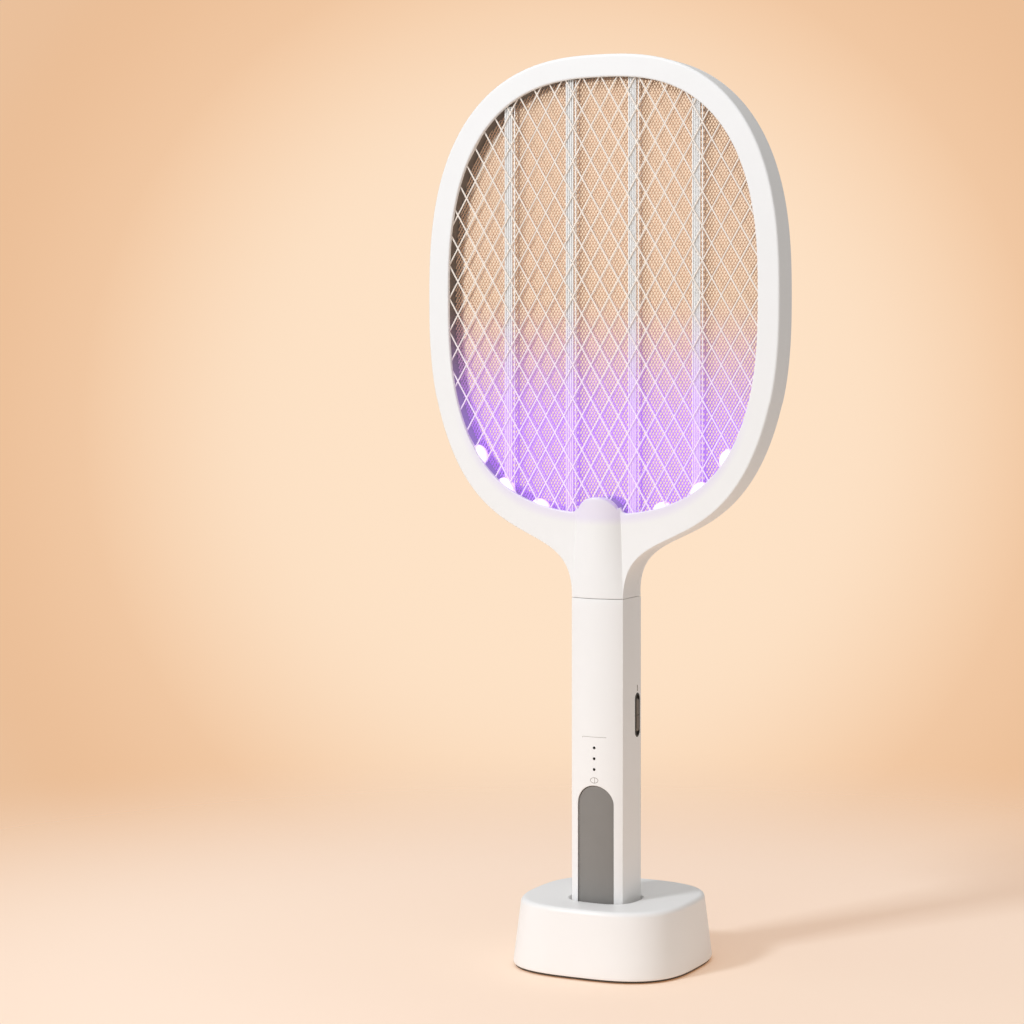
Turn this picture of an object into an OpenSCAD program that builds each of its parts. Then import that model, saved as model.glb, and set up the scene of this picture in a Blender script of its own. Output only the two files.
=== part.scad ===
// Electric fly swatter standing in its charging dock.
// The origin is the middle of the dock's underside, +Z is up and the front faces -Y.
// Racket pieces are drawn in the racket's own frame, whose Y = 0 is the middle of the handle.

/* [Head] */
// Width of the head ring
head_w = 215; // [205:1:225]
// Height of the head ring
head_h = 271; // [262:1:280]
// Top of the head above the table
head_top = 511; // [505:1:520]
// Width of the flat band round the opening
band_w = 12.8; // [11:0.2:15]
// Squareness of the ring, 2 is a plain ellipse
ring_power = 2.56; // [2.3:0.02:2.9]
// Front face of the head, measured from the middle of the handle
head_front = -11; // [-11.6:0.2:-10]
// Back face of the head, measured from the middle of the handle
head_back_face = 9; // [8.6:0.2:10]

/* [Nets] */
// Width of one diamond of the net
diamond_w = 11.2; // [9:0.2:14]
// Height of one diamond of the net
diamond_h = 19.1; // [16:0.1:24]
// Width of a net strand
strand_w = 1.1; // [0.8:0.1:1.4]
// Thickness of a net
net_t = 0.8; // [0.6:0.1:0.8]
// Distance between the upright ribs
rib_pitch = 38.4; // [34:0.2:42]

/* [Handle] */
// Width of the handle
handle_w = 31.3; // [30.8:0.1:32]
// Height of the seam between handle and head
seam_z = 207; // [204:1:209]
// Underside of the handle when it is docked
handle_foot = 9; // [9:0.1:9.2]
// Radius of the rounded front of the handle
front_r = 31.1; // [30:0.1:33]
// Wall of the handle and head shells
wall = 1.8; // [1.6:0.1:2]

/* [Press panel] */
// Width of the long grey panel
panel_w = 21.4; // [20:0.2:22]
// Top of the panel
panel_top = 102.6; // [100:0.2:104]

/* [Side switch] */
// Height of the middle of the slide switch
slide_z = 140.4; // [138:0.2:144]
// Length of the switch bezel
bezel_l = 25; // [24.6:0.2:26]
// Width of the switch bezel
bezel_w = 7; // [6.8:0.1:7.2]

/* [Dock] */
// Width and depth of the dock at its foot
dock_w = 103.2; // [100:0.4:108]
// Height of the dock
dock_h = 38.1; // [37:0.1:40]
// Width of the dock just under its rounded top edge
dock_top_w = 96; // [94:0.5:98]
// How far the racket stands in front of the dock's middle
racket_set = 9.5; // [8:0.5:11]

/* [Hidden] */
$fn = 64;
far = 400;
head_z = head_top - head_h / 2;
open_a = head_w / 2 - band_w;
open_b = head_h / 2 - band_w;
open_power = ring_power + 0.05;
half_w = handle_w / 2;
front_y = -16.6;
arc_y = front_y + front_r;
side_back = 12.4;
neck_front = -12.4;
neck_slope = 34;
lens_r = 53.6;
lens_rise = 2.2;
cover_lip = 1.3;
foot_t = 2;
skin = 2;
net_y = head_front + skin;
frame_front = net_y + net_t;
back_plate = head_back_face - skin;
frame_back = back_plate - net_t;
grid_half = 0.4;
frame_in = 0.6;
frame_out = 2.8;
frame_groove = 2;
net_rim = 3;
arch_w = 13.6;
arch_z = 250;
arch_h = 13.5;
led_turns = [17.5, 28.8, 40.3];
led_y = -3;
screw_turns = [20, 62, 98, 132];
rib_w = 1.2;
rib_d = 6.6;
bar_d = 1.2;
spigot_z = 188;
lead_foot = 168;
panel_back = 1.8;
handle_screw_z = [26, 176];
handle_screw_x = 11.8;
screw_r = 0.88;
screw_hole = 0.9;
screw_clear = 1.2;
screw_head = 2;
screw_seat = 12.6;
panel_sunk = 0.9;
panel_foot = 14;
panel_gap = 0.35;
hinge_y = -11.6;
hinge_z = 17;
pin_r = 1;
pin_half = 13.2;
bracket_in = 11.2;
lug_in = 7.6;
lug_t = 3;
tact_z = 92;
tact_half = 3;
pad_y = -12.8;
plunger_r = 1.75;
plunger_back = -9.4;
tongue_half = 4;
board_y = -7.2;
board_t = 1.6;
dot_z = [112, 118, 124];
dot_r = 0.85;
cell_r = 9.2;
cell_y = 0.5;
tab_t = 0.4;
tab_half = 4;
cell_z = 15;
cell_l = 65;
switch_y = 7.8;
dock_half = dock_w / 2;
dock_power = 3;
dock_wall = 2.2;
dock_sides = 72;
pocket_a = 20;
pocket_b = 18;
pocket_y = -0.2;
pocket_power = 2.8;
pocket_wall = 1.8;
pocket_floor = handle_foot - 0.05;
base_z = 0.6;
shell_foot = 1.6;
base_top = 3;
board_top = 4.2;
boss_at = 33;
contact_x = 5;
contact_r = 2;
contact_pin_r = 1;
foot_x = 25;
foot_y = 33;
foot_r = 5;
socket_half = 2.9;
socket_r = 1.6;
socket_front = 42;
socket_back = 50.4;
socket_wall = 0.4;
socket_z = 7.2;

// A point of a squared ellipse at an angle, and the whole curve
function squared(a, b, power, turn) =
    let (c = cos(turn), s = sin(turn))
    pow(pow(abs(c) / a, power) + pow(abs(s) / b, power), -1 / power) * [c, s];
function squared_curve(a, b, power, count = 120) =
    [for (i = [0:count - 1]) squared(a, b, power, i * 360 / count)];

// A point of a four-point curve
function bend(p, t) = pow(1 - t, 3) * p[0] + 3 * pow(1 - t, 2) * t * p[1]
    + 3 * (1 - t) * t * t * p[2] + pow(t, 3) * p[3];
function mirrored(points) = [for (i = [len(points) - 1:-1:0]) [-points[i][0], points[i][1]]];

// Outlines drawn across the front and pushed along Y or X
module along_y(y0, y1) {
    translate([0, y1, 0]) rotate([90, 0, 0]) linear_extrude(y1 - y0) children();
}
module along_x(x0, x1) {
    translate([x0, 0, 0]) rotate([90, 0, 90]) linear_extrude(x1 - x0) children();
}
module in_racket() {
    translate([0, -racket_set, 0]) children();
}
module both_sides() {
    children();
    mirror([1, 0, 0]) children();
}
module box(low, high) {
    translate(low) cube(high - low);
}
module rod_y(x, z, y0, y1, r) {
    translate([x, y1, z]) rotate([90, 0, 0]) cylinder(h = y1 - y0, r = r);
}
module rod_x(y, z, x0, x1, r) {
    translate([x0, y, z]) rotate([0, 90, 0]) cylinder(h = x1 - x0, r = r);
}

// Head outlines
module ring_area(grow) {
    translate([0, head_z]) polygon(squared_curve(open_a + grow, open_b + grow, open_power));
}
module arch_area(grow = 0) {
    translate([0, arch_z]) polygon(squared_curve(arch_w + grow, arch_h + grow, 2.1, 60));
}
module opening_area(grow = 0) {
    difference() {
        ring_area(grow);
        arch_area(-grow);
    }
}
module flare_area(inset) {
    side = [for (i = [0:20]) bend([
        [102.2 - inset, head_z - 58.6],
        [79.2 - inset, head_z - 154 + inset],
        [half_w - inset, head_z - 119 + inset],
        [half_w - inset, seam_z]], i / 20)];
    polygon(concat(side, mirrored(side)));
}
module head_area(inset = 0) {
    translate([0, head_z])
        polygon(squared_curve(head_w / 2 - inset, head_h / 2 - inset, ring_power));
    flare_area(inset);
}

// Side view of the neck: it thickens from the head's depth to the handle's
module neck_side(inset) {
    polygon([
        [head_front + inset, far * 2],
        [head_front + inset, seam_z + 30],
        [neck_front + inset, seam_z],
        [side_back - inset, seam_z],
        [head_back_face - inset, seam_z + neck_slope],
        [head_back_face - inset, far * 2]]);
}

// Section of the handle, seen from above
module front_section(inset) {
    intersection() {
        translate([0, arc_y]) circle(front_r - inset, $fn = 180);
        translate([inset - half_w, -far]) square([handle_w - inset * 2, far + side_back]);
    }
}

// Mid-line of the band, where the screws and lamps sit
function band_point(turn, grow) = [0, head_z] + squared(open_a + grow, open_b + grow, open_power, turn);
function band_slope(turn) =
    let (p = squared(open_a, open_b, open_power, turn))
    atan2(sign(p[1]) * pow(abs(p[1]) / open_b, open_power - 1) / open_b,
        sign(p[0]) * pow(abs(p[0]) / open_a, open_power - 1) / open_a);
module at_lamps(out) {
    for (turn = led_turns) both_sides()
        let (p = band_point(270 + turn, 0))
        translate([p[0], led_y, p[1]]) rotate([0, 90 - band_slope(270 + turn), 0])
            translate([0, 0, out]) children();
}
module at_head_screws() {
    for (turn = screw_turns) both_sides()
        let (p = band_point(90 - turn, 6.4))
        translate([p[0], 0, p[1]]) rotate([90, 0, 0]) children();
}

module head_shell() {
    color("white") in_racket() {
        difference() {
            intersection() {
                along_y(neck_front, side_back) head_area();
                along_x(-far, far) neck_side(0);
            }
            intersection() {
                along_y(net_y, side_back + 1) head_area(wall + 0.2);
                along_x(-far, far) neck_side(skin);
            }
            along_y(-far, far) opening_area();
            along_y(back_plate, far) head_area(-1);
        }
        head_bosses();
        neck_ridge();
        neck_spigot();
    }
}
module head_bosses() {
    translate([0, back_plate, 0]) at_head_screws() difference() {
        cylinder(h = back_plate - net_y + 0.5, r = 2.6);
        translate([0, 0, -1]) cylinder(h = 9, r = screw_hole);
    }
}
module neck_ridge() {
    difference() {
        intersection() {
            translate([0, 0, seam_z]) linear_extrude(80) front_section(0);
            along_y(-far, head_front + 0.6) union() {
                arch_area();
                translate([-arch_w, seam_z]) square([arch_w * 2, arch_z - seam_z]);
            }
        }
        translate([0, 0, seam_z - 1]) linear_extrude(arch_z - seam_z) intersection() {
            front_section(skin);
            translate([skin - arch_w, -far]) square([(arch_w - skin) * 2, far * 2]);
        }
    }
}
module neck_spigot() {
    translate([0, 0, spigot_z]) linear_extrude(seam_z - spigot_z + 2) difference() {
        translate([-13.6, -9.6]) square([27.2, 16.6]);
        translate([-11.8, -7.8]) square([23.6, 13]);
    }
    translate([0, 0, seam_z]) linear_extrude(2) difference() {
        translate([-14.4, -11.4]) square([28.8, 18.4]);
        translate([-11.8, -7.8]) square([23.6, 13]);
    }
}

module head_cover() {
    color("white") in_racket() difference() {
        union() {
            along_y(back_plate, head_back_face) head_area();
            intersection() {
                along_y(head_back_face - 1, side_back) flare_area(0);
                along_x(-far, far) polygon([
                    [head_back_face - 1, seam_z],
                    [side_back, seam_z],
                    [head_back_face, seam_z + neck_slope],
                    [head_back_face - 1, seam_z + neck_slope]]);
            }
        }
        along_y(-far, far) opening_area();
        translate([0, head_back_face + 1, 0]) at_head_screws() {
            cylinder(h = 4, r = screw_clear);
            cylinder(h = 2, r = screw_head + 0.1);
        }
    }
}

module net_frame() {
    color("dimgray") in_racket() difference() {
        union() {
            along_y(frame_front, frame_back) difference() {
                ring_area(frame_out);
                ring_area(frame_in);
            }
            along_y(frame_front, frame_back) intersection() {
                arch_area(-0.3);
                ring_area(frame_in + 1);
            }
        }
        along_y(-far, far) translate([-7, arch_z - 4]) square([14, 10]);
        along_y(-grid_half, grid_half) ring_area(frame_groove);
        at_lamps(-4) cylinder(h = 12, r = 2.4);
    }
}

// A net sheet: its diamonds stop short of the clamped rim
module net_sheet(shift, rim_in, rim_out, strand) {
    columns = ceil(open_a / diamond_w) + 1;
    rows = ceil(open_b / diamond_h * 2) + 1;
    apart = diamond_w * diamond_h / 2 / norm([diamond_w, diamond_h]);
    part = 1 - strand / 2 / apart;
    difference() {
        ring_area(rim_out);
        intersection() {
            ring_area(rim_in);
            for (row = [-rows:rows], column = [-columns:columns])
                let (odd = abs(row) % 2 / 2)
                translate([(column + odd + shift) * diamond_w, head_z + row * diamond_h / 2])
                    polygon([
                        [part * diamond_w / 2, 0],
                        [0, part * diamond_h / 2],
                        [-part * diamond_w / 2, 0],
                        [0, -part * diamond_h / 2]]);
        }
    }
}

// A net at a depth: the hub block passes through a slot in its lower edge
module net_layer(y0, y1, shift, rim_in, rim_out, strand) {
    along_y(y0, y1) difference() {
        net_sheet(shift, rim_in, rim_out, strand);
        arch_area(0.1);
        translate([-arch_w, 0]) square([arch_w * 2, arch_z]);
    }
}
module front_net() {
    color("ivory") in_racket()
        net_layer(net_y, frame_front, 0, 0, net_rim, strand_w);
}
module shock_grid() {
    color("silver") in_racket()
        net_layer(-grid_half, grid_half, 0.25, frame_in, frame_groove, strand_w * 0.6);
}
module rear_net() {
    color("ivory") in_racket()
        net_layer(frame_back, back_plate, 0.5, 0, net_rim, strand_w);
}

module uprights(y0, y1) {
    intersection() {
        along_y(y0, y1) ring_area(frame_in);
        for (i = [-1.5:1.5])
            box([i * rib_pitch - rib_w / 2, y0, 0], [i * rib_pitch + rib_w / 2, y1, head_top]);
    }
}
module front_ribs() {
    color("gainsboro") in_racket() uprights(frame_front, frame_front + rib_d);
}
module rear_bars() {
    color("gainsboro") in_racket() uprights(frame_back - bar_d, frame_back);
}

module led_strip() {
    color("darkgreen") in_racket() both_sides() along_y(led_y - 3, led_y + 3) intersection() {
        difference() {
            ring_area(5.4);
            ring_area(4.6);
        }
        translate([26, 0]) square([54, head_z - 82]);
    }
}
module led_chips() {
    color("lightyellow") in_racket() at_lamps(4.5) translate([-1.4, -1.4, -1.1]) cube([2.8, 2.8, 1]);
}
module light_windows() {
    color("plum") in_racket() intersection() {
        at_lamps(-0.4) cylinder(h = 3.2, r = 2.4);
        along_y(-far, far) difference() {
            ring_area(frame_out);
            ring_area(frame_in);
        }
    }
}
module head_screws() {
    color("silver") in_racket() translate([0, head_back_face - 1, 0]) at_head_screws() {
        translate([0, 0, -0.9]) cylinder(h = 0.9, r = screw_head);
        cylinder(h = 8, r = screw_r);
    }
}
module grid_leads() {
    color("firebrick") in_racket() both_sides()
        translate([4, 1, lead_foot]) cylinder(h = arch_z + 5 - lead_foot, r = 0.9);
}

module handle_shell() {
    color("white") in_racket() difference() {
        union() {
            translate([0, 0, handle_foot]) linear_extrude(seam_z - handle_foot) difference() {
                front_section(0);
                front_section(wall);
            }
            translate([0, 0, handle_foot]) linear_extrude(foot_t) front_section(0.5);
            both_sides() box(
                [bracket_in, hinge_y - 0.6, hinge_z - 5],
                [half_w - 1.25, hinge_y + 2.6, hinge_z + 4]);
            for (z = handle_screw_z) screw_post(z);
        }
        along_y(-far, 0) panel_area(panel_gap);
        rod_x(hinge_y, hinge_z, -pin_half, pin_half, pin_r);
        for (z = dot_z) rod_y(0, z, -far, 0, dot_r);
        bezel_seat();
        for (x = [-1, 1] * contact_x) translate([x, 0, 0]) cylinder(h = cell_z, r = contact_r);
    }
}
module screw_post(z) {
    both_sides() difference() {
        box([handle_screw_x - 2.4, 6, z - 3], [half_w - 1.25, side_back - cover_lip - 0.1, z + 3]);
        rod_y(handle_screw_x, z, 4, side_back, screw_hole);
    }
}
module panel_area(grow) {
    r = panel_w / 2 + grow;
    translate([0, panel_top - panel_w / 2]) circle(r);
    translate([-r, panel_foot - grow]) square([r * 2, panel_top - panel_w / 2 - panel_foot + grow]);
}
module bezel_area(w, l) {
    for (z = [-1, 1] * (l - w) / 2) translate([switch_y, slide_z + z]) circle(w / 2);
    translate([switch_y - w / 2, slide_z - (l - w) / 2]) square([w, l - w]);
}
module bezel_seat() {
    along_x(10, half_w + 2) bezel_area(bezel_w, bezel_l);
}

module handle_back() {
    color("white") in_racket() difference() {
        union() {
            translate([0, 0, handle_foot]) linear_extrude(seam_z - handle_foot) intersection() {
                translate([0, side_back + lens_rise - lens_r]) circle(lens_r, $fn = 180);
                translate([-half_w, side_back]) square([handle_w, lens_rise * 2]);
            }
            box(
                [wall - half_w, side_back - cover_lip, handle_foot + foot_t + 0.1],
                [half_w - wall, side_back + 0.1, seam_z - 0.1]);
        }
        for (z = handle_screw_z, x = [-1, 1] * handle_screw_x) {
            rod_y(x, z, 0, far, screw_clear);
            rod_y(x, z, screw_seat, far, screw_head + 0.1);
        }
        box([6, 10, slide_z - bezel_l / 2], [half_w, side_back - 0.9, slide_z + bezel_l / 2]);
    }
}

module press_panel() {
    color("darkgray") in_racket() {
        difference() {
            union() {
                intersection() {
                    translate([0, arc_y, 0]) difference() {
                        cylinder(h = far, r = front_r - panel_sunk, $fn = 180);
                        cylinder(h = far, r = front_r - panel_sunk - panel_back, $fn = 180);
                    }
                    along_y(-far, 0) panel_area(0);
                }
                both_sides() box(
                    [lug_in, hinge_y - 1, panel_foot],
                    [lug_in + lug_t, hinge_y + 1.4, hinge_z + 3]);
            }
            rod_x(hinge_y, hinge_z, -pin_half, pin_half, pin_r + 0.03);
        }
        rod_y(0, tact_z, pad_y - 1.4, pad_y, 2.5);
        box([-tongue_half, pad_y - 1.3, panel_top - 4], [tongue_half, pad_y + 0.2, panel_top + 3]);
    }
}
module panel_pin() {
    color("silver") in_racket() rod_x(hinge_y, hinge_z, -pin_half, pin_half, pin_r);
}
module tact_switch() {
    color("black") in_racket() difference() {
        box([-tact_half, -11, tact_z - tact_half], [tact_half, board_y, tact_z + tact_half]);
        rod_y(0, tact_z, pad_y, plunger_back + 1.35, plunger_r + 0.03);
    }
}
module tact_plunger() {
    color("dimgray") in_racket() rod_y(0, tact_z, pad_y + 0.02, plunger_back, plunger_r);
}
module indicator_pipes() {
    color("black") in_racket() for (z = dot_z) rod_y(0, z, front_y + 0.05, -9, dot_r);
}
module main_board() {
    color("darkgreen") in_racket() box([-12.4, board_y, 83], [12.4, board_y + board_t, 186]);
}
module hv_transformer() {
    color("goldenrod") in_racket() box([-10, board_y + board_t, 124], [4.5, 8.6, 146]);
}
module hv_capacitors() {
    color("firebrick") in_racket()
        for (x = [-11, 1]) box([x, board_y + board_t, 152], [x + 10, 3.4, lead_foot]);
}
module battery_cell() {
    color("steelblue") in_racket() translate([0, cell_y, cell_z]) cylinder(h = cell_l, r = cell_r);
}
module cell_contacts() {
    color("silver") in_racket() {
        for (z = [cell_z - tab_t, cell_z + cell_l])
            box([-tab_half, cell_y - tab_half, z], [tab_half, cell_y + tab_half, z + tab_t]);
    }
}

module switch_bezel() {
    color("#4a4238") in_racket() difference() {
        along_x(half_w - 2, half_w + 0.1) bezel_area(bezel_w, bezel_l);
        along_x(half_w - 0.9, half_w + 1) bezel_area(bezel_w - 1.6, bezel_l - 1.6);
        along_x(half_w - 3, half_w) bezel_area(2.4, 9);
    }
}
module slide_knob() {
    color("#76695f") in_racket() {
        difference() {
            along_x(half_w - 0.85, half_w + 0.4) bezel_area(3.2, 19.2);
            box([half_w, 0, slide_z - 0.4], [half_w + 1, far, slide_z + 0.4]);
        }
        box([half_w - 4, switch_y - 0.9, slide_z - 2], [half_w - 0.6, switch_y + 0.9, slide_z + 2]);
    }
}
module slide_switch() {
    color("silver") in_racket() difference() {
        box([6.6, switch_y - 3.4, slide_z - 9.5], [half_w - 2, switch_y + 3.4, slide_z + 9.5]);
        box([half_w - 4.2, switch_y - 1, slide_z - 4.2], [half_w, switch_y + 1, slide_z + 4.2]);
    }
}
module handle_screws() {
    color("silver") in_racket() for (z = handle_screw_z, x = [-1, 1] * handle_screw_x) {
        rod_y(x, z, screw_seat, screw_seat + 0.7, screw_head);
        rod_y(x, z, 6.4, screw_seat + 0.1, screw_r);
    }
}
module charge_pads() {
    color("gold") in_racket() for (x = [-1, 1] * contact_x)
        translate([x, 0, handle_foot]) cylinder(h = 2.4, r = contact_r);
}

// Dock body: straight tapered sides and a soft top edge, one squared outline above another
function dock_levels(inset, foot, top) = [
    [foot, dock_half - 0.4 - inset],
    [foot + 1, dock_half - inset],
    [top - 3.4, dock_top_w / 2 + 0.3 - inset],
    [top - 1.5, dock_top_w / 2 - 0.2 - inset],
    [top - 0.5, dock_top_w / 2 - 1.2 - inset],
    [top, dock_top_w / 2 - 2.8 - inset]];
module dock_area(half) {
    polygon(squared_curve(half, half, dock_power, dock_sides));
}
module dock_body(inset, foot, top) {
    levels = dock_levels(inset, foot, top);
    last = len(levels) - 1;
    points = [for (i = [0:last]) let (power = dock_power - i * 0.06)
        for (p = squared_curve(levels[i][1], levels[i][1], power, dock_sides)) [p[0], p[1], levels[i][0]]];
    sides = [for (i = [0:last - 1], j = [0:dock_sides - 1])
        let (a = i * dock_sides + j, b = i * dock_sides + (j + 1) % dock_sides)
        [a, a + dock_sides, b + dock_sides, b]];
    polyhedron(points, concat(
        sides,
        [[for (j = [0:dock_sides - 1]) j]],
        [[for (j = [dock_sides - 1:-1:0]) last * dock_sides + j]]));
}
module pocket_area(grow) {
    translate([0, pocket_y - racket_set])
        polygon(squared_curve(pocket_a + grow, pocket_b + grow, pocket_power, 72));
}
module dock_shell() {
    color("white") difference() {
        union() {
            difference() {
                dock_body(0, shell_foot, dock_h);
                dock_body(dock_wall, shell_foot - 0.5, dock_h - dock_wall);
            }
            translate([0, 0, pocket_floor - 1.6]) linear_extrude(dock_h - pocket_floor)
                pocket_area(pocket_wall);
            for (x = [-1, 1] * boss_at, y = [-1, 1] * boss_at)
                translate([x, y, base_top]) cylinder(h = dock_h - base_top - 1.5, r = 3.4);
        }
        translate([0, 0, pocket_floor]) linear_extrude(dock_h) pocket_area(0);
        for (x = [-1, 1] * contact_x)
            translate([x, -racket_set, 0]) cylinder(h = dock_h, r = contact_pin_r + 0.1);
        for (x = [-1, 1] * boss_at, y = [-1, 1] * boss_at)
            translate([x, y, 0]) cylinder(h = 16, r = 1.1);
        socket_solid(socket_front - 2, far, socket_r + 0.1);
    }
}
module socket_solid(y0, y1, r) {
    for (x = [-1, 1] * socket_half) rod_y(x, socket_z, y0, y1, r);
    box([-socket_half, y0, socket_z - r], [socket_half, y1, socket_z + r]);
}
module dock_base() {
    color("#3a3632") difference() {
        union() {
            translate([0, 0, base_z]) linear_extrude(shell_foot - base_z) dock_area(dock_half - 0.9);
            translate([0, 0, base_z]) linear_extrude(base_top - base_z)
                dock_area(dock_half - dock_wall - 0.5);
        }
        for (x = [-1, 1] * boss_at, y = [-1, 1] * boss_at)
            translate([x, y, 0]) cylinder(h = 5, r = 1.4);
        for (x = [-1, 1] * boss_at, y = [-1, 1] * boss_at)
            translate([x, y, 0]) cylinder(h = base_z + 1, r = 2.8);
    }
}
module dock_feet() {
    color("#2c2a28") for (x = [-1, 1] * foot_x, y = [-1, 1] * foot_y)
        translate([x, y, 0]) cylinder(h = base_z, r = foot_r);
}
module dock_board() {
    color("darkgreen") box([-12, -18, base_top], [12, 46, board_top]);
}
module contact_pins() {
    color("gold") for (x = [-1, 1] * contact_x)
        translate([x, -racket_set, board_top]) cylinder(h = pocket_floor - board_top, r = contact_pin_r);
}
module charge_socket() {
    color("dimgray") difference() {
        union() {
            socket_solid(socket_front, socket_back, socket_r);
            box([-4, socket_front, board_top], [4, socket_front + 4, socket_z]);
        }
        socket_solid(socket_front + 1, far, socket_r - socket_wall);
    }
}
module dock_screws() {
    color("silver") for (x = [-1, 1] * boss_at, y = [-1, 1] * boss_at) translate([x, y, 0]) {
        translate([0, 0, base_z + 0.1]) cylinder(h = 0.9, r = 2.6);
        translate([0, 0, base_z + 1]) cylinder(h = 11, r = 1.08);
    }
}

head_shell();
head_cover();
net_frame();
front_net();
shock_grid();
rear_net();
front_ribs();
rear_bars();
led_strip();
led_chips();
light_windows();
head_screws();
grid_leads();
handle_shell();
handle_back();
press_panel();
panel_pin();
tact_switch();
tact_plunger();
indicator_pipes();
main_board();
hv_transformer();
hv_capacitors();
battery_cell();
cell_contacts();
switch_bezel();
slide_knob();
slide_switch();
handle_screws();
charge_pads();
dock_shell();
dock_base();
dock_feet();
dock_board();
contact_pins();
charge_socket();
dock_screws();
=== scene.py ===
import bmesh
import bpy
import math
from mathutils import Matrix, Vector


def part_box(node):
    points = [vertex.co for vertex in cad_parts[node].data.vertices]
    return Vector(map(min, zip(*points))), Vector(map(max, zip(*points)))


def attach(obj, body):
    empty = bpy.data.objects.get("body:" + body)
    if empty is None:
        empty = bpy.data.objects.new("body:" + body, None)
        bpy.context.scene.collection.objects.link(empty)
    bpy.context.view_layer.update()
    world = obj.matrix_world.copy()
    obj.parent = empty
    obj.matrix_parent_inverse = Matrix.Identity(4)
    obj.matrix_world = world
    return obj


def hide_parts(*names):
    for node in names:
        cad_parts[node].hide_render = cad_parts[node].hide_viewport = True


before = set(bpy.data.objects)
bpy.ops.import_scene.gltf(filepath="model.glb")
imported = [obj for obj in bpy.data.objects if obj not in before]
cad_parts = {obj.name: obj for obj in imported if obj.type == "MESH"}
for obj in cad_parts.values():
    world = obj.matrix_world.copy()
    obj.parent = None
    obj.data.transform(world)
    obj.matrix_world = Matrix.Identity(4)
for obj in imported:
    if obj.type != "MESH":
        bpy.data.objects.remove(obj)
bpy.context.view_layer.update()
mm = 0.001
racketSet = 9.5  # the racket stands this far in front of the dock's middle, mm
print("frame loaded")

# Camera, floor and light

view = dict(place=(0.5966, -1.3376, 0.3420), turn=26.28, lens=90.91, shift=-0.1519)
cameraData = bpy.data.cameras.new("camera")
cameraData.lens = view["lens"]
cameraData.sensor_width = 36
cameraData.shift_y = view["shift"]
cameraData.clip_end = 60
camera = bpy.data.objects.new("camera", cameraData)
camera.location = view["place"]
camera.rotation_euler = (math.radians(90), 0, math.radians(view["turn"]))
bpy.context.scene.collection.objects.link(camera)
bpy.context.scene.camera = camera
bpy.context.scene.view_settings.view_transform = "Standard"
bpy.context.scene.view_settings.look = "None"


def linear(code, alpha=1.0):
    channels = [int(code[i:i + 2], 16) / 255 for i in (0, 2, 4)]
    return tuple(c / 12.92 if c <= 0.04045 else ((c + 0.055) / 1.055) ** 2.4 for c in channels) + (alpha,)


def addNode(tree, kind, settings=None, inputs=None):
    node = tree.nodes.new(kind)
    for name, value in (settings or {}).items():
        setattr(node, name, value)
    for socket, value in (inputs or {}).items():
        if isinstance(value, bpy.types.NodeSocket):
            tree.links.new(value, node.inputs[socket])
        else:
            node.inputs[socket].default_value = value
    return node


def newMaterial(name):
    material = bpy.data.materials.new(name)
    material.use_nodes = True
    material.node_tree.nodes.clear()
    return material, material.node_tree


def finishMaterial(tree, shader):
    addNode(tree, "ShaderNodeOutputMaterial", inputs={"Surface": shader.outputs[0]})


def objectPoint(tree, scale=(1, 1, 1), turn=(0, 0, 0), place=(0, 0, 0)):
    coords = addNode(tree, "ShaderNodeTexCoord")
    return addNode(tree, "ShaderNodeMapping", inputs={
        "Vector": coords.outputs["Object"], "Scale": scale, "Rotation": turn, "Location": place}).outputs[0]


def makeFloor():
    # pale paper round the dock that fades into the backdrop farther out; it glows evenly in warm orange, painted warm
    # bounce light that tints its shadows
    look = dict(colour="E2DED3", paintedBounceGlow="F0A05C", glow=0.34, clear=0.24, gone=0.80, reach=8.0)
    material, tree = newMaterial("studio_paper_matt")
    away = addNode(tree, "ShaderNodeVectorMath", {"operation": "LENGTH"}, {0: objectPoint(tree)})
    fade = addNode(tree, "ShaderNodeMapRange", {"interpolation_type": "SMOOTHSTEP"}, {
        "Value": away.outputs["Value"], "From Min": look["clear"], "From Max": look["gone"]})
    paper = addNode(tree, "ShaderNodeBsdfPrincipled", inputs={
        "Base Color": linear(look["colour"]), "Roughness": 0.9, "Specular IOR Level": 0.1,
        "Emission Color": linear(look["paintedBounceGlow"]), "Emission Strength": look["glow"]})
    nothing = addNode(tree, "ShaderNodeBsdfTransparent")
    finishMaterial(tree, addNode(tree, "ShaderNodeMixShader", inputs={
        0: fade.outputs[0], 1: paper.outputs[0], 2: nothing.outputs[0]}))
    bm = bmesh.new()
    bmesh.ops.create_circle(bm, cap_ends=True, segments=96, radius=look["reach"])
    mesh = bpy.data.meshes.new("floor")
    bm.to_mesh(mesh)
    bm.free()
    mesh.materials.append(material)
    floor = bpy.data.objects.new("floor", mesh)
    bpy.context.scene.collection.objects.link(floor)


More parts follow.
